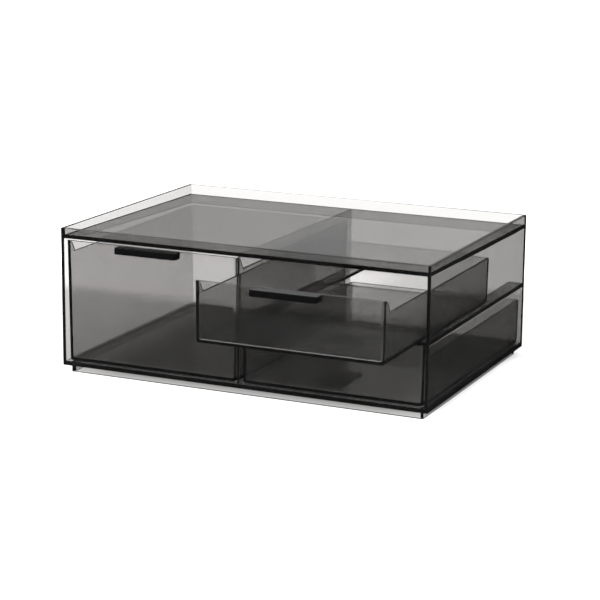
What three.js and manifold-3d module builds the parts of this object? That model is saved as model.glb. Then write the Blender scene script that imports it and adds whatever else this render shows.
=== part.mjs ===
// Stackable desktop drawer organiser of smoked transparent plastic.
// A wide low case, open at the front, holds one tall drawer on the left and two short drawers on
// the right, the upper one riding on a pair of narrow ledges. A raised lip makes the top a tray, and
// a rim set in under the base nests into the tray of the unit below. The upper right drawer stands
// partly pulled out.
//
// Millimetres, +Z up, +Y towards the back, +X to the right seen from the front.
// The origin is on the standing surface, in the middle of the footprint with that drawer out.

import * as THREE from 'three';
import { mergeVertices } from 'three/addons/utils/BufferGeometryUtils.js';
import Module from 'manifold-3d';

// Driving dimensions: case
const WIDTH = 330;
const DEPTH = 233;
const CASE_HEIGHT = 118.5; // from the case's bottom edge to the top of the lip
const WALL = 2.9; // sides, back and front rail
const BASE = 3.8;
const DIVIDER = 2;
const LEDGE = 2.8; // thickness of the ledges that carry the upper drawer
const LEDGE_WIDTH = 14;
const LEDGE_BOTTOM = 54.6; // above the case's bottom edge
const DECK = 2.6;
const DECK_BOTTOM_FRONT = 109.7;
const DECK_BOTTOM_BACK = 107.1; // the deck falls a little towards the back
const LOOSE = 0.3; // gap where a panel meets a sloping neighbour

// Nesting rim under the base
const RIM_HEIGHT = 6.5;
const RIM_THICKNESS = 2.9;
const RIM_INSET = 5.4;

// Drawers
const DRAWER_WIDTH = 157.6; // outside, at the top of the front
const DRAWER_LENGTH = 227;
const DRAWER_WALL = 2.2;
const DRAWER_FLOOR = 2;
const DRAWER_CLEARANCE = 0.7; // under each drawer
const DRAWER_RECESS = 1.5; // closed fronts stand this far behind the case's front edge
const TALL_FRONT = 103.5;
const SHORT_FRONT = 49.3;
const SIDE_DROP = 10.8; // sides and back are this much lower than the front
const FIN_RUN = 8.6; // run of the curved fin that joins the front's top to a side's top
const DRAFT = 0.011; // sideways taper of the walls per millimetre of height
const CORNER_RADIUS = 2.5;
const EDGE_RADIUS = 1.6; // around the drawer's bottom edge
const UPPER_DRAWER_OUT = 83;

// Pulls
const PULL_LENGTH = 56.5;
const PULL_REACH = 10;
const PULL_HEIGHT = 5.4;
const PULL_CORNER = 1.8;

// Places worked out from the driving dimensions
const caseFront = -(DEPTH + DRAWER_RECESS - UPPER_DRAWER_OUT - PULL_REACH) / 2;
const caseBack = caseFront + DEPTH;
const caseBottom = RIM_HEIGHT;
const innerRight = WIDTH / 2 - WALL;
const innerBack = caseBack - WALL;
const baseTop = caseBottom + BASE;
const ledgeBottom = caseBottom + LEDGE_BOTTOM;
const ledgeTop = ledgeBottom + LEDGE;
const bayCentre = (DIVIDER / 2 + innerRight) / 2;

const smokedPlastic = () => new THREE.MeshStandardMaterial({
  color: 0x8a8886, roughness: 0.06, metalness: 0, transparent: true, opacity: 0.4,
});
const darkSmokedPlastic = () => new THREE.MeshStandardMaterial({
  color: 0x6a6866, roughness: 0.06, metalness: 0, transparent: true, opacity: 0.6,
});
const blackPlastic = () => new THREE.MeshStandardMaterial({
  color: 0x0c0c0d, roughness: 0.35, metalness: 0,
});

const wasm = await Module();
wasm.setup();

const organiser = new THREE.Group();

function addPiece(name, geometry, material, x = 0, y = 0, z = 0) {
  const mesh = new THREE.Mesh(geometry, material);
  mesh.name = name;
  mesh.position.set(x, y, z);
  organiser.add(mesh);
}

// A flat panel that fills the box between two corners.
function addPanel(name, [x0, x1], [y0, y1], [z0, z1]) {
  const geometry = new THREE.BoxGeometry(x1 - x0, y1 - y0, z1 - z0);
  addPiece(name, geometry, smokedPlastic(), (x0 + x1) / 2, (y0 + y1) / 2, (z0 + z1) / 2);
}

// An outline drawn in the (y, z) plane, extruded from x0 to x1.
function extrudeAlongX(outline, x0, x1) {
  const geometry = new THREE.ExtrudeGeometry(outline, {
    depth: x1 - x0, bevelEnabled: false, curveSegments: 8,
  });
  geometry.applyMatrix4(new THREE.Matrix4().makeBasis(
    new THREE.Vector3(0, 1, 0), new THREE.Vector3(0, 0, 1), new THREE.Vector3(1, 0, 0),
  ));
  return geometry.translate(x0, 0, 0);
}

function polygon(points) {
  return new THREE.Shape(points.map(([u, v]) => new THREE.Vector2(u, v)));
}

function toManifold(geometry) {
  const bare = geometry.clone();
  bare.deleteAttribute('normal');
  bare.deleteAttribute('uv');
  const merged = mergeVertices(bare, 1e-5);
  return new wasm.Manifold(new wasm.Mesh({
    numProp: 3,
    vertProperties: new Float32Array(merged.attributes.position.array),
    triVerts: new Uint32Array(merged.index.array),
  }));
}

function toGeometry(solid) {
  const { vertProperties, triVerts } = solid.getMesh();
  const geometry = new THREE.BufferGeometry();
  geometry.setAttribute('position', new THREE.BufferAttribute(new Float32Array(vertProperties), 3));
  geometry.setIndex(new THREE.BufferAttribute(new Uint32Array(triVerts), 1));
  geometry.computeVertexNormals();
  return geometry;
}

// Case -----------------------------------------------------------------------

const deckSlope = (DECK_BOTTOM_BACK - DECK_BOTTOM_FRONT) / (DEPTH - 2 * WALL);
const deckBottomAt = (y) => caseBottom + DECK_BOTTOM_FRONT + deckSlope * (y - caseFront - WALL);

function addCase() {
  const fullHeight = [caseBottom, caseBottom + CASE_HEIGHT];
  const between = [-innerRight, innerRight];
  addPanel('side_panel_left', [-WIDTH / 2, -innerRight], [caseFront, caseBack], fullHeight);
  addPanel('side_panel_right', [innerRight, WIDTH / 2], [caseFront, caseBack], fullHeight);
  addPanel('back_panel', between, [innerBack, caseBack], fullHeight);
  addPanel('base_panel', between, [caseFront, innerBack], [caseBottom, baseTop]);
  addPanel('front_rail', between, [caseFront, caseFront + WALL],
    [caseBottom + DECK_BOTTOM_FRONT, caseBottom + CASE_HEIGHT]);

  const deckOutline = polygon([
    [caseFront + WALL, deckBottomAt(caseFront + WALL)],
    [innerBack, deckBottomAt(innerBack)],
    [innerBack, deckBottomAt(innerBack) + DECK],
    [caseFront + WALL, deckBottomAt(caseFront + WALL) + DECK],
  ]);
  addPiece('top_deck', extrudeAlongX(deckOutline, -innerRight, innerRight), smokedPlastic());

  const dividerOutline = polygon([
    [caseFront, baseTop],
    [innerBack, baseTop],
    [innerBack, deckBottomAt(innerBack) - LOOSE],
    [caseFront, deckBottomAt(caseFront + WALL) - LOOSE],
  ]);
  addPiece('centre_divider', extrudeAlongX(dividerOutline, -DIVIDER / 2, DIVIDER / 2),
    smokedPlastic());
  const ledgeHeight = [ledgeBottom, ledgeTop];
  addPanel('ledge_left', [DIVIDER / 2, DIVIDER / 2 + LEDGE_WIDTH], [caseFront, innerBack], ledgeHeight);
  addPanel('ledge_right', [innerRight - LEDGE_WIDTH, innerRight], [caseFront, innerBack], ledgeHeight);
}

function addNestingRim() {
  const outerX = WIDTH / 2 - RIM_INSET;
  const innerX = outerX - RIM_THICKNESS;
  const front = caseFront + RIM_INSET;
  const back = caseBack - RIM_INSET;
  const height = [0, RIM_HEIGHT];
  addPanel('rim_left', [-outerX, -innerX], [front, back], height);
  addPanel('rim_right', [innerX, outerX], [front, back], height);
  addPanel('rim_front', [-innerX, innerX], [front, front + RIM_THICKNESS], height);
  addPanel('rim_back', [-innerX, innerX], [back - RIM_THICKNESS, back], height);
}

// Drawers --------------------------------------------------------------------
// Each drawer is drawn with x = 0 on its middle, y = 0 on its front face, z = 0 on its underside.

// Points of a rectangle with rounded corners, anticlockwise seen from above.
function roundedRing(halfWidth, front, back, radius, z) {
  const cornerSteps = 4;
  const corners = [
    [halfWidth - radius, front + radius, -90],
    [halfWidth - radius, back - radius, 0],
    [-halfWidth + radius, back - radius, 90],
    [-halfWidth + radius, front + radius, 180],
  ];
  const ring = [];
  for (const [cx, cy, startDegrees] of corners) {
    for (let step = 0; step <= cornerSteps; step += 1) {
      const angle = THREE.MathUtils.degToRad(startDegrees + (90 * step) / cornerSteps);
      ring.push([cx + radius * Math.cos(angle), cy + radius * Math.sin(angle), z]);
    }
  }
  return ring;
}

// A closed solid through rings of equal length, stacked upwards.
function loft(rings) {
  const count = rings[0].length;
  const lastRing = rings.length - 1;
  const faces = [];
  for (let i = 1; i < count - 1; i += 1) {
    faces.push(0, i + 1, i);
    faces.push(lastRing * count, lastRing * count + i, lastRing * count + i + 1);
  }
  for (let level = 0; level < lastRing; level += 1) {
    for (let i = 0; i < count; i += 1) {
      const next = (i + 1) % count;
      const a = level * count + i;
      const b = level * count + next;
      faces.push(a, b, b + count, a, b + count, a + count);
    }
  }
  const geometry = new THREE.BufferGeometry();
  geometry.setAttribute('position', new THREE.Float32BufferAttribute(rings.flat(2), 3));
  geometry.setIndex(faces);
  return geometry;
}

// The tub's outer or inner skin: walls that taper towards the floor, with a rounded bottom edge.
function tubSkin(frontHeight, inset, floor, top) {
  const edgeSteps = 3;
  const ringAt = (z, edgeInset) => {
    const taper = DRAFT * (frontHeight - z);
    return roundedRing(
      DRAWER_WIDTH / 2 - taper - inset - edgeInset,
      inset + edgeInset,
      DRAWER_LENGTH - taper - inset - edgeInset,
      CORNER_RADIUS - inset / 2,
      z,
    );
  };
  const rings = [];
  for (let step = 0; step <= edgeSteps; step += 1) {
    const angle = (Math.PI / 2) * (step / edgeSteps);
    rings.push(ringAt(floor + EDGE_RADIUS * (1 - Math.cos(angle)), EDGE_RADIUS * (1 - Math.sin(angle))));
  }
  rings.push(ringAt(top, 0));
  return loft(rings);
}

// What is cut away above the sides and back, leaving a curved fin behind each end of the front.
function aboveSides(frontHeight) {
  const beyond = 5;
  const sideTop = frontHeight - SIDE_DROP;
  const finStart = DRAWER_WALL;
  const outline = new THREE.Shape();
  outline.moveTo(finStart, frontHeight + beyond);
  outline.lineTo(finStart, frontHeight);
  outline.quadraticCurveTo(finStart + FIN_RUN * 0.6, frontHeight - SIDE_DROP * 0.1,
    finStart + FIN_RUN, sideTop);
  outline.lineTo(DRAWER_LENGTH + beyond, sideTop);
  outline.lineTo(DRAWER_LENGTH + beyond, frontHeight + beyond);
  outline.closePath();
  return extrudeAlongX(outline, -DRAWER_WIDTH, DRAWER_WIDTH);
}

function tubGeometry(frontHeight) {
  const openAbove = 1;
  const outer = toManifold(tubSkin(frontHeight, 0, 0, frontHeight));
  const inner = toManifold(tubSkin(frontHeight, DRAWER_WALL, DRAWER_FLOOR, frontHeight + openAbove));
  return toGeometry(outer.subtract(inner).subtract(toManifold(aboveSides(frontHeight))));
}

// A bar with rounded front corners, its back face against the drawer's front.
function pullGeometry() {
  const half = PULL_LENGTH / 2;
  const outline = new THREE.Shape();
  outline.moveTo(half, 0);
  outline.lineTo(-half, 0);
  outline.lineTo(-half, -PULL_REACH + PULL_CORNER);
  outline.absarc(-half + PULL_CORNER, -PULL_REACH + PULL_CORNER, PULL_CORNER, Math.PI, 1.5 * Math.PI);
  outline.absarc(half - PULL_CORNER, -PULL_REACH + PULL_CORNER, PULL_CORNER, 1.5 * Math.PI, 2 * Math.PI);
  outline.closePath();
  return new THREE.ExtrudeGeometry(outline, {
    depth: PULL_HEIGHT, bevelEnabled: false, curveSegments: 6,
  });
}

function addDrawer(name, x, bottom, frontHeight, pulledOut) {
  const front = caseFront + DRAWER_RECESS - pulledOut;
  addPiece(`${name}_tub`, tubGeometry(frontHeight), darkSmokedPlastic(), x, front, bottom);
  addPiece(`${name}_pull`, pullGeometry(), blackPlastic(), x, front,
    bottom + frontHeight - PULL_HEIGHT);
}

addCase();
addNestingRim();
addDrawer('tall_drawer', -bayCentre, baseTop + DRAWER_CLEARANCE, TALL_FRONT, 0);
addDrawer('upper_drawer', bayCentre, ledgeTop + DRAWER_CLEARANCE, SHORT_FRONT, UPPER_DRAWER_OUT);
addDrawer('lower_drawer', bayCentre, baseTop + DRAWER_CLEARANCE, SHORT_FRONT, 0);

export default organiser;
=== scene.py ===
"""Smoked transparent desktop organiser: a tall drawer beside two short ones, the upper one pulled out."""
import math

import bmesh
import bpy
from mathutils import Matrix, Vector


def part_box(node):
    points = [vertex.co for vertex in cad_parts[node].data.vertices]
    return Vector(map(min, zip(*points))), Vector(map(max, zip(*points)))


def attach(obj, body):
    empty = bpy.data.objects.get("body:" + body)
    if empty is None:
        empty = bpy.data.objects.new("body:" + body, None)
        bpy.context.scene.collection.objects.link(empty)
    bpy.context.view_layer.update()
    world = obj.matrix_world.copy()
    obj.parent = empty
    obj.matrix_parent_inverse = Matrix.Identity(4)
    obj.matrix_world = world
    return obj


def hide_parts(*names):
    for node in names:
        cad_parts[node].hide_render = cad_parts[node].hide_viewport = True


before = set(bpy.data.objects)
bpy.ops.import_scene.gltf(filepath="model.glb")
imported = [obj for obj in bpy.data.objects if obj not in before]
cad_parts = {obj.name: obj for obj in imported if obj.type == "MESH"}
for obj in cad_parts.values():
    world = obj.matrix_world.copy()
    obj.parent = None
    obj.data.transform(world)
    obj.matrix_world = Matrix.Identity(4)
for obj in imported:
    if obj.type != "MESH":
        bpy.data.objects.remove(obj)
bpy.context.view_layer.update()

MM = 0.001

# Case sizes that the CAD boxes don't give by themselves, in metres
DECK = 2.6 * MM
SEAM = 0.15 * MM  # between the shell and the mouldings set into it
SHELL_ROUND = 0.7 * MM
INSERT_ROUND = 0.45 * MM
RIM_ROUND = 0.6 * MM

# Drawer sizes
TUB_WALL = 2.2 * MM
TUB_FLOOR = 2.0 * MM
TUB_ROUND = 0.45 * MM  # along the top edge
TUB_CORNER = 2.5 * MM  # upright outer corners
TUB_CORNER_MIN = 0.9 * MM
TUB_EDGE = 1.6 * MM  # around the bottom
TUB_DRAFT = 0.011  # how far the sides and back lean out per unit of height
SIDE_DROP = 10.8 * MM  # from the top of the front to the top of the sides
FIN_RUN = 8.6 * MM  # length of the curved fin between those two levels
FIN_SWELL = 1.2  # how fast the fin's curve leaves the front, towards the back
FIN_SAG = 0.2  # and how fast it leaves it downwards
PULL_ROUND = 0.5 * MM
PULL_CORNER = 1.8 * MM
SHARP = 32  # degrees; edges that turn more are rounded

# Surfaces
EDGE_REACH = 0.9 * MM  # width of the frosted or worn band along an edge
EDGE_ALIGNMENT = (0.93, 0.99)  # agreement of the smoothed and the flat normal, from edge to flat
PLASTIC_IOR = 1.49
SMOKE = (0.50, 0.49, 0.48)  # a metre of plastic absorbs at the rate density * (1 - SMOKE)
CASE_DENSITY = 360.0
DRAWER_DENSITY = 340.0
CLARITY = (0.996, 0.993)  # transmission, from the clearest to the haziest spot
EDGE_CLARITY = 0.975
POLISH = (0.0, 0.035)  # roughness, likewise
EDGE_POLISH = 0.12
SATIN = (0.16, 0.27)
BLACK = (0.003, 0.003, 0.0033)
WORN_BLACK = (0.014, 0.014, 0.0147)

# Studio brightness; 1 is white
BACKDROP_GLOW = 1.75
MIRRORED_GLOW = 0.4  # the backdrop as reflections see it
BEHIND = (0.2, 0.7)  # range of a ray's +Y part over which reflections come to see the backdrop
CARD_GLOW = 0.012  # the black cards that they see elsewhere
TABLE_GLOW = 1.05
TABLE_REACH = 12.0
# Painted light and shade on the table, zones each laid over the one before: centre, half size, softness,
# glow inside.
# They set the tones seen through the object and are tuned for the main view.
PAINTED_TABLE_ZONES = (
    ((0, 0.09, 0), (12, 0.11, 1), 0.05, 0.65),  # painted shade in a band under and beside the case
    ((-0.45, 0.31, 0), (0.37, 0.07, 1), 0.06, 1.7),  # painted light, brighter behind and to the left
    ((0.10, 0.26, 0), (0.05, 0.10, 1), 0.05, 0.4),  # painted shade, dimmer behind and to the right
    ((0, 0.06, 0), (0.115, 0.08, 1), 0.05, 0.1),  # painted shadow, dim under the case
)

# Camera angles in degrees, lengths in metres, lens and sensor in millimetres
CAMERA_AZIMUTH, CAMERA_ELEVATION, CAMERA_ROLL = 24.37, 13.44, 0.534
CAMERA_DISTANCE = 1.7322
CAMERA_TARGET = (0.0019, 0.04585, 0.0559)
LENS, SENSOR = 120.94, 36


# Mesh building ---------------------------------------------------------------

def make_object(name, vertices, faces):
    mesh = bpy.data.meshes.new(name)
    mesh.from_pydata([tuple(v) for v in vertices], [], faces)
    bm = bmesh.new()
    bm.from_mesh(mesh)
    bmesh.ops.recalc_face_normals(bm, faces=bm.faces)
    bm.to_mesh(mesh)
    bm.free()
    piece = bpy.data.objects.new(name, mesh)
    bpy.context.collection.objects.link(piece)
    return piece


def round_edges(piece, width, segments=3):
    """Rounds every sharp edge; the flats stay exactly flat, as glassy panels need."""
    bevel = piece.modifiers.new("rounded_edges", "BEVEL")
    bevel.width = width
    bevel.segments = segments
    bevel.limit_method = "ANGLE"
    bevel.angle_limit = math.radians(SHARP)
    bevel.miter_outer = "MITER_ARC"


def cell_solid(name, xs, ys, zs, filled, z_at=None):
    """One closed solid made of the filled cells of a box grid.

    filled(i, j, k) says whether the cell between breaks i and i + 1, and so on, is solid.
    z_at(j, k) may bend the level k at the break j of ys, for a sloping panel.
    """
    z_at = z_at or (lambda j, k: zs[k])
    counts = (len(xs) - 1, len(ys) - 1, len(zs) - 1)

    def solid(cell):
        return all(0 <= c < n for c, n in zip(cell, counts)) and filled(*cell)

    index, vertices, faces = {}, [], []

    def vertex(i, j, k):
        if (i, j, k) not in index:
            index[i, j, k] = len(vertices)
            vertices.append((xs[i], ys[j], z_at(j, k)))
        return index[i, j, k]

    # For each axis, the corners of the cell face on its low side
    low_faces = (
        ((0, 0, 0), (0, 0, 1), (0, 1, 1), (0, 1, 0)),
        ((0, 0, 0), (1, 0, 0), (1, 0, 1), (0, 0, 1)),
        ((0, 0, 0), (0, 1, 0), (1, 1, 0), (1, 0, 0)),
    )
    for i in range(counts[0]):
        for j in range(counts[1]):
            for k in range(counts[2]):
                if not solid((i, j, k)):
                    continue
                for axis in range(3):
                    for side in (0, 1):
                        beyond = [i, j, k]
                        beyond[axis] += 1 if side else -1
                        if solid(tuple(beyond)):
                            continue
                        corners = []
                        for offset in low_faces[axis]:
                            corner = [i + offset[0], j + offset[1], k + offset[2]]
                            corner[axis] += side
                            corners.append(vertex(*corner))
                        faces.append(corners if side == 0 else corners[::-1])
    return make_object(name, vertices, faces)


# Case ------------------------------------------------------------------------

left_lo, left_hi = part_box("side_panel_left")
right_lo, right_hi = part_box("side_panel_right")
back_lo, back_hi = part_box("back_panel")
base_lo, base_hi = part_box("base_panel")
rail_lo, rail_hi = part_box("front_rail")
deck_lo, deck_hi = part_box("top_deck")
divider_lo, divider_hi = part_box("centre_divider")
left_ledge_lo, left_ledge_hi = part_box("ledge_left")
right_ledge_lo, right_ledge_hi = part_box("ledge_right")
deck_fall = (deck_hi[2] - deck_lo[2]) - DECK  # from the front to the back of the bays


def build_shell():
    """Sides, back, base, deck, front lip and right ledge as one moulding."""
    xs = [left_lo[0], left_hi[0], right_ledge_lo[0], right_lo[0], right_hi[0]]
    ys = [left_lo[1], rail_hi[1], back_lo[1], back_hi[1]]
    zs = [left_lo[2], base_hi[2], right_ledge_lo[2], right_ledge_hi[2],
          rail_lo[2], rail_lo[2] + DECK, left_hi[2]]

    def filled(i, j, k):
        if i in (0, 3) or j == 2:
            return True  # a side, or the back
        if k in (0, 4):
            return True  # base and deck
        if k == 2 and i == 2:
            return True  # right ledge
        return k == 5 and j == 0  # front lip

    def z_at(j, k):
        return zs[k] - (deck_fall if k in (4, 5) and j >= 2 else 0)

    shell = cell_solid("case_shell", xs, ys, zs, filled, z_at)
    round_edges(shell, SHELL_ROUND)
    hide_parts("side_panel_left", "side_panel_right", "back_panel", "base_panel",
                "top_deck", "front_rail", "ledge_right")
    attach(shell, "case")
    return shell


def build_insert():
    """Centre divider with the left ledge on its right face, set into the shell."""
    xs = [divider_lo[0], divider_hi[0], left_ledge_hi[0]]
    ys = [divider_lo[1], divider_hi[1] - SEAM]
    zs = [divider_lo[2] + SEAM, left_ledge_lo[2], left_ledge_hi[2], divider_hi[2]]

    def filled(i, j, k):
        return i == 0 or k == 1

    def z_at(j, k):
        return zs[k] - (deck_fall if k == 3 and j == 1 else 0)

    insert = cell_solid("divider_and_ledge", xs, ys, zs, filled, z_at)
    round_edges(insert, INSERT_ROUND)
    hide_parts("centre_divider", "ledge_left")
    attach(insert, "case")
    return insert


def build_rim():
    """Nesting rim set in under the base."""
    lo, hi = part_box("rim_left")[0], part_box("rim_right")[1]
    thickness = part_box("rim_left")[1][0] - lo[0]
    xs = [lo[0], lo[0] + thickness, hi[0] - thickness, hi[0]]
    ys = [lo[1], lo[1] + thickness, hi[1] - thickness, hi[1]]
    zs = [lo[2], hi[2] - SEAM]
    rim = cell_solid("nesting_rim", xs, ys, zs, lambda i, j, k: not (i == 1 and j == 1))
    round_edges(rim, RIM_ROUND)
    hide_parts("rim_left", "rim_right", "rim_front", "rim_back")
    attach(rim, "case")
    return rim


# Drawers ---------------------------------------------------------------------

def quarter_arc(cx, cy, radius, start, steps):
    """Points of a quarter circle, anticlockwise from the angle start in degrees."""
    angles = [math.radians(start + 90 * step / steps) for step in range(steps + 1)]
    return [(cx + radius * math.cos(a), cy + radius * math.sin(a)) for a in angles]


def tub_ring(half_width, front, back, radius, fin_ys):
    """Points of one level of a tub, anticlockwise from the middle of the front, in its own frame."""
    steps = 8
    half = [(0.0, front)]
    half += quarter_arc(half_width - radius, front + radius, radius, -90, steps)
    half += [(half_width, y) for y in fin_ys]
    half += quarter_arc(half_width - radius, back - radius, radius, 0, steps)
    half.append((0.0, back))
    mirrored = [(-x, y) for x, y in reversed(half[1:-1])]
    return half + mirrored


def fin_height(y, front_height):
    """Height of the tub's top edge at y: full at the front, down a curved fin, then level."""
    run = (y - TUB_WALL) / FIN_RUN
    if run <= 0:
        return front_height
    if run >= 1:
        return front_height - SIDE_DROP
    # The fin is a quadratic curve: run(t) = SWELL t (1 - t) + t^2, drop(t) = SAG t (1 - t) + t^2
    bend = FIN_SWELL - 1
    t = (FIN_SWELL - math.sqrt(FIN_SWELL ** 2 - 4 * bend * run)) / (2 * bend)
    return front_height - SIDE_DROP * (FIN_SAG * t * (1 - t) + t * t)


def build_tub(drawer, name):
    lo, hi = (Vector(c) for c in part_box(f"{drawer}_tub"))
    middle = (lo.x + hi.x) / 2
    top_half_width = (hi.x - lo.x) / 2
    height = hi.z - lo.z
    length = hi.y - lo.y + TUB_DRAFT * SIDE_DROP
    fin_steps, fin_start = 8, 0.2
    fin_ys = [TUB_WALL + FIN_RUN * (fin_start + (1 - fin_start) * step / fin_steps)
              for step in range(fin_steps + 1)]

    def ring(z, inset):
        taper = TUB_DRAFT * (height - z)
        return tub_ring(top_half_width - taper - inset, inset, length - taper - inset,
                        max(TUB_CORNER - inset / 2, TUB_CORNER_MIN), fin_ys)

    def skin(inset, floor):
        """Levels from the floor up: a rounded bottom edge, then the wall up to the top edge."""
        edge_steps = 5
        levels = []
        for step in range(edge_steps + 1):
            angle = math.pi / 2 * step / edge_steps
            z = floor + TUB_EDGE * (1 - math.cos(angle))
            shrink = TUB_EDGE * (1 - math.sin(angle))
            levels.append([(x, y, z) for x, y in ring(z, inset + shrink)])
        top_points = []
        for index, (_, y) in enumerate(ring(height, inset)):
            z = fin_height(y, height)
            x, y = ring(z, inset)[index]
            top_points.append((x, y, z))
        levels.append(top_points)
        return levels

    outer, inner = skin(0.0, 0.0), skin(TUB_WALL, TUB_FLOOR)
    count = len(outer[0])
    vertices = [p for level in outer + inner for p in level]
    vertices = [(x + middle, y + lo.y, z + lo.z) for x, y, z in vertices]
    levels = len(outer)
    faces = []

    def start(skin_index, level):
        return (skin_index * levels + level) * count

    for i in range(count):
        following = (i + 1) % count
        for level in range(levels - 1):
            a, b = start(0, level), start(0, level + 1)
            faces.append((a + i, a + following, b + following, b + i))
            a, b = start(1, level), start(1, level + 1)
            faces.append((a + following, a + i, b + i, b + following))
        a, b = start(0, levels - 1), start(1, levels - 1)
        faces.append((a + i, a + following, b + following, b + i))
    faces.append([start(0, 0) + i for i in reversed(range(count))])
    faces.append([start(1, 0) + i for i in range(count)])
    tub = make_object(name, vertices, faces)
    round_edges(tub, TUB_ROUND, segments=2)
    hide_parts(f"{drawer}_tub")
    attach(tub, drawer)
    return tub


def build_pull(drawer, name):
    """A black bar with rounded front corners and softened edges."""
    lo, hi = (Vector(c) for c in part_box(f"{drawer}_pull"))
    steps = 6
    outline = [(lo.x, hi.y)]
    for cx, start in ((lo.x + PULL_CORNER, 180), (hi.x - PULL_CORNER, 270)):
        outline += quarter_arc(cx, lo.y + PULL_CORNER, PULL_CORNER, start, steps)
    outline.append((hi.x, hi.y))
    count = len(outline)
    vertices = [(x, y, z) for z in (lo.z, hi.z) for x, y in outline]
    faces = [list(reversed(range(count))), list(range(count, 2 * count))]
    for i in range(count):
        following = (i + 1) % count
        faces.append((i, following, count + following, count + i))
    pull = make_object(name, vertices, faces)
    round_edges(pull, PULL_ROUND)
    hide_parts(f"{drawer}_pull")
    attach(pull, drawer)
    return pull


# Materials -------------------------------------------------------------------

class Nodes:
    """Short ways to add and link the shader nodes of a material or the world."""

    def __init__(self, owner, output="ShaderNodeOutputMaterial"):
        owner.use_nodes = True
        self.owner = owner
        self.tree = owner.node_tree
        self.tree.nodes.clear()
        self.output = self.add(output)

    def add(self, kind, **settings):
        node = self.tree.nodes.new(kind)
        for key, value in settings.items():
            setattr(node, key, value)
        return node

    def link(self, source, target):
        self.tree.links.new(source, target)

    def noise(self, scale, detail=3.0):
        place = self.add("ShaderNodeTexCoord")
        texture = self.add("ShaderNodeTexNoise")
        texture.inputs["Scale"].default_value = scale
        texture.inputs["Detail"].default_value = detail
        self.link(place.outputs["Object"], texture.inputs["Vector"])
        return texture.outputs["Fac"]

    def spread(self, value, low, high, from_low=0.35, from_high=0.65):
        """value, clamped to from_low to from_high, mapped to low to high; noise fills that range."""
        node = self.add("ShaderNodeMapRange")
        node.inputs["From Min"].default_value = from_low
        node.inputs["From Max"].default_value = from_high
        node.inputs["To Min"].default_value = low
        node.inputs["To Max"].default_value = high
        self.link(value, node.inputs["Value"])
        return node.outputs["Result"]

    def mix_value(self, factor, first, second):
        """The socket first where factor is 0, the number second where it is 1."""
        node = self.add("ShaderNodeMix", data_type="FLOAT")
        self.link(factor, node.inputs["Factor"])
        self.link(first, node.inputs["A"])
        node.inputs["B"].default_value = second
        return node.outputs["Result"]

    def mix_colour(self, factor, first, second):
        node = self.add("ShaderNodeMix", data_type="RGBA")
        self.link(factor, node.inputs["Factor"])
        node.inputs["A"].default_value = (*first, 1)
        node.inputs["B"].default_value = (*second, 1)
        return node.outputs["Result"]

    def edge(self, reach):
        """1 on the edges, 0 further than reach from them."""
        rounded = self.add("ShaderNodeBevel", samples=6)
        rounded.inputs["Radius"].default_value = reach
        flat = self.add("ShaderNodeNewGeometry")
        agreement = self.add("ShaderNodeVectorMath", operation="DOT_PRODUCT")
        self.link(rounded.outputs["Normal"], agreement.inputs[0])
        self.link(flat.outputs["Normal"], agreement.inputs[1])
        return self.spread(agreement.outputs["Value"], 1, 0, *EDGE_ALIGNMENT)

    def bump(self, height, distance, strength):
        node = self.add("ShaderNodeBump")
        node.inputs["Strength"].default_value = strength
        node.inputs["Distance"].default_value = distance
        self.link(height, node.inputs["Height"])
        return node.outputs["Normal"]


def smoked_plastic(name, density):
    """Clear plastic with a neutral smoke tint that deepens with the length of the path through it.

    A trace of white haze stands for fine scratches and dust, and the edges are a little more frosted.
    """
    n = Nodes(bpy.data.materials.new(name))
    surface = n.add("ShaderNodeBsdfPrincipled")
    surface.inputs["IOR"].default_value = PLASTIC_IOR
    n.link(n.mix_colour(n.spread(n.noise(18.0), 0, 1), (0.985, 0.985, 0.985), (1.0, 1.0, 1.0)),
           surface.inputs["Base Color"])
    edge = n.edge(EDGE_REACH)
    haze = n.spread(n.noise(40.0, 5.0), *CLARITY)
    n.link(n.mix_value(edge, haze, EDGE_CLARITY), surface.inputs["Transmission Weight"])
    smears = n.spread(n.noise(55.0, 4.0), *POLISH)
    n.link(n.mix_value(edge, smears, EDGE_POLISH), surface.inputs["Roughness"])
    n.link(n.bump(n.noise(9.0, 1.0), 0.12 * MM, 0.25), surface.inputs["Normal"])
    inside = n.add("ShaderNodeVolumeAbsorption")
    inside.inputs["Color"].default_value = (*SMOKE, 1)
    inside.inputs["Density"].default_value = density
    n.link(surface.outputs[0], n.output.inputs["Surface"])
    n.link(inside.outputs[0], n.output.inputs["Volume"])
    return n.owner


def black_plastic():
    """Satin black moulding with a fine grain and slightly paler edges."""
    n = Nodes(bpy.data.materials.new("black_plastic"))
    surface = n.add("ShaderNodeBsdfPrincipled")
    n.link(n.mix_colour(n.edge(EDGE_REACH / 2), BLACK, WORN_BLACK), surface.inputs["Base Color"])
    n.link(n.spread(n.noise(300.0), *SATIN), surface.inputs["Roughness"])
    n.link(n.bump(n.noise(2500.0, 2.0), 0.03 * MM, 0.4), surface.inputs["Normal"])
    n.link(surface.outputs[0], n.output.inputs["Surface"])
    return n.owner


def beyond_box(n, place, centre, half, softness):
    """0 inside an upright box, rising to 1 at softness outside it."""
    for operation, value in (("SUBTRACT", centre), ("ABSOLUTE", None),
                             ("SUBTRACT", half), ("MAXIMUM", (0, 0, 0)), ("LENGTH", None)):
        step = n.add("ShaderNodeVectorMath", operation=operation)
        n.link(place, step.inputs[0])
        if value:
            step.inputs[1].default_value = value
        place = step.outputs["Value" if operation == "LENGTH" else "Vector"]
    fade = n.add("ShaderNodeMapRange", interpolation_type="SMOOTHSTEP")
    fade.inputs["From Max"].default_value = softness
    n.link(place, fade.inputs["Value"])
    return fade.outputs["Result"]


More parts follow.
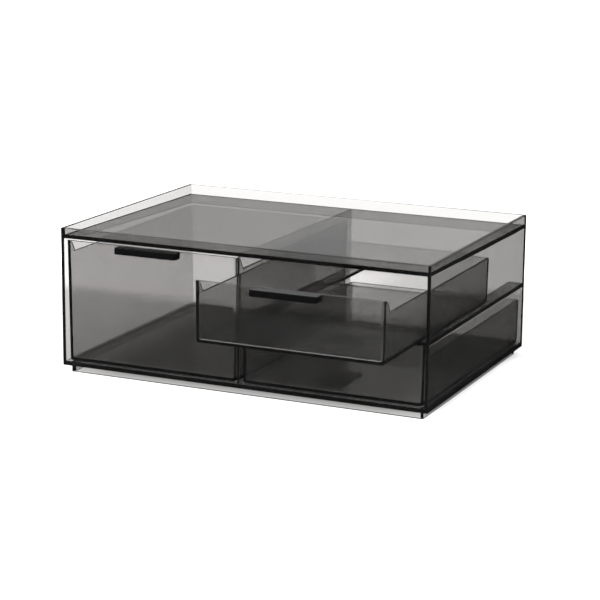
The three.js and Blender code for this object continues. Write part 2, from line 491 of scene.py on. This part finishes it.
def floor_material():
    """A white table with a glow of its own, with painted light and shade around and behind the case and a
    painted shadow under it.

    Reflections see it painted almost black, as if dark cards lay beside the object.
    """
    n = Nodes(bpy.data.materials.new("pale_floor"))
    path = n.add("ShaderNodeLightPath")
    surface = n.add("ShaderNodeBsdfDiffuse")
    n.link(n.mix_colour(n.spread(n.noise(3.0), 0, 1), (0.44, 0.44, 0.44), (0.46, 0.46, 0.46)),
           surface.inputs["Color"])
    place = n.add("ShaderNodeNewGeometry").outputs["Position"]
    level = None
    # Painted light and shade on the table, zone by zone
    for centre, half, softness, inside in PAINTED_TABLE_ZONES:
        zone = n.add("ShaderNodeMix", data_type="FLOAT")
        n.link(beyond_box(n, place, centre, half, softness), zone.inputs["Factor"])
        zone.inputs["A"].default_value = inside
        zone.inputs["B"].default_value = TABLE_GLOW
        if level:
            n.link(level, zone.inputs["B"])
        level = zone.outputs["Result"]
    glow = n.add("ShaderNodeEmission")
    n.link(level, glow.inputs["Strength"])
    lit = n.add("ShaderNodeAddShader")
    n.link(surface.outputs[0], lit.inputs[0])
    n.link(glow.outputs[0], lit.inputs[1])
    # Painted reflection: reflections see the table as a near-black glow
    card = n.add("ShaderNodeEmission")
    card.inputs["Strength"].default_value = CARD_GLOW
    seen = n.add("ShaderNodeMixShader")
    n.link(path.outputs["Glossy Depth"], seen.inputs["Fac"])
    n.link(lit.outputs[0], seen.inputs[1])
    n.link(card.outputs[0], seen.inputs[2])
    n.link(seen.outputs[0], n.output.inputs["Surface"])
    return n.owner


def paint(piece, material):
    piece.data.materials.clear()
    piece.data.materials.append(material)


# The object ------------------------------------------------------------------

case_smoke = smoked_plastic("smoked_clear_plastic", CASE_DENSITY)
drawer_smoke = smoked_plastic("dark_smoked_plastic", DRAWER_DENSITY)
black = black_plastic()

for piece in (build_shell(), build_insert(), build_rim()):
    paint(piece, case_smoke)
for drawer in ("tall_drawer", "upper_drawer", "lower_drawer"):
    paint(build_tub(drawer, f"{drawer}_moulding"), drawer_smoke)
    paint(build_pull(drawer, f"{drawer}_bar"), black)


# Studio ----------------------------------------------------------------------

def build_floor():
    corners = [(x * TABLE_REACH, y * TABLE_REACH, 0) for x, y in ((-1, -1), (1, -1), (1, 1), (-1, 1))]
    floor = make_object("studio_floor", corners, [(0, 1, 2, 3)])
    floor.data.materials.append(floor_material())


def build_world():
    """A bright backdrop; reflections see it only behind the object, and black cards elsewhere."""
    n = Nodes(bpy.data.worlds.new("studio"), "ShaderNodeOutputWorld")
    bpy.context.scene.world = n.owner
    backdrop = n.add("ShaderNodeBackground")
    backdrop.inputs["Strength"].default_value = BACKDROP_GLOW
    direction = n.add("ShaderNodeTexCoord")
    parts = n.add("ShaderNodeSeparateXYZ")
    n.link(direction.outputs["Generated"], parts.inputs["Vector"])
    mirrored = n.add("ShaderNodeBackground")
    n.link(n.spread(parts.outputs["Y"], CARD_GLOW, MIRRORED_GLOW, *BEHIND), mirrored.inputs["Strength"])
    for background in (backdrop, mirrored):
        background.inputs["Color"].default_value = (1, 1, 1, 1)
    path = n.add("ShaderNodeLightPath")
    mix = n.add("ShaderNodeMixShader")
    n.link(path.outputs["Glossy Depth"], mix.inputs["Fac"])
    n.link(backdrop.outputs[0], mix.inputs[1])
    n.link(mirrored.outputs[0], mix.inputs[2])
    n.link(mix.outputs[0], n.output.inputs["Surface"])


def build_lamp(name, place, target, size, watts):
    data = bpy.data.lights.new(name, "AREA")
    data.shape = "RECTANGLE"
    data.size, data.size_y = size
    data.energy = watts
    lamp = bpy.data.objects.new(name, data)
    lamp.location = place
    lamp.rotation_euler = (Vector(target) - Vector(place)).to_track_quat("-Z", "Y").to_euler()
    bpy.context.collection.objects.link(lamp)


def build_camera():
    azimuth, elevation, roll = (math.radians(a) for a in (CAMERA_AZIMUTH, CAMERA_ELEVATION, CAMERA_ROLL))
    back = Vector((math.sin(azimuth) * math.cos(elevation),
                   -math.cos(azimuth) * math.cos(elevation), math.sin(elevation)))
    level = Vector((math.cos(azimuth), math.sin(azimuth), 0))
    upward = back.cross(level)
    right = math.cos(roll) * level + math.sin(roll) * upward
    up = -math.sin(roll) * level + math.cos(roll) * upward
    place = Vector(CAMERA_TARGET) + CAMERA_DISTANCE * back
    data = bpy.data.cameras.new("camera")
    data.sensor_width = SENSOR
    data.lens = LENS
    data.clip_end = 100
    camera = bpy.data.objects.new("camera", data)
    camera.matrix_world = Matrix.Translation(place) @ Matrix((right, up, back)).transposed().to_4x4()
    bpy.context.collection.objects.link(camera)
    bpy.context.scene.camera = camera


build_floor()
build_world()
build_lamp("overhead_softbox", (0.2, -0.1, 1.6), (0, 0, 0), (1.6, 1.6), 3)
build_camera()

scene = bpy.context.scene
scene.view_settings.view_transform = "Standard"
scene.view_settings.look = "None"
scene.cycles.max_bounces = 24
scene.cycles.transmission_bounces = 24
scene.cycles.glossy_bounces = 12
scene.cycles.diffuse_bounces = 3
scene.cycles.sample_clamp_indirect = 6.0
scene.cycles.use_denoising = True

bpy.context.view_layer.update()
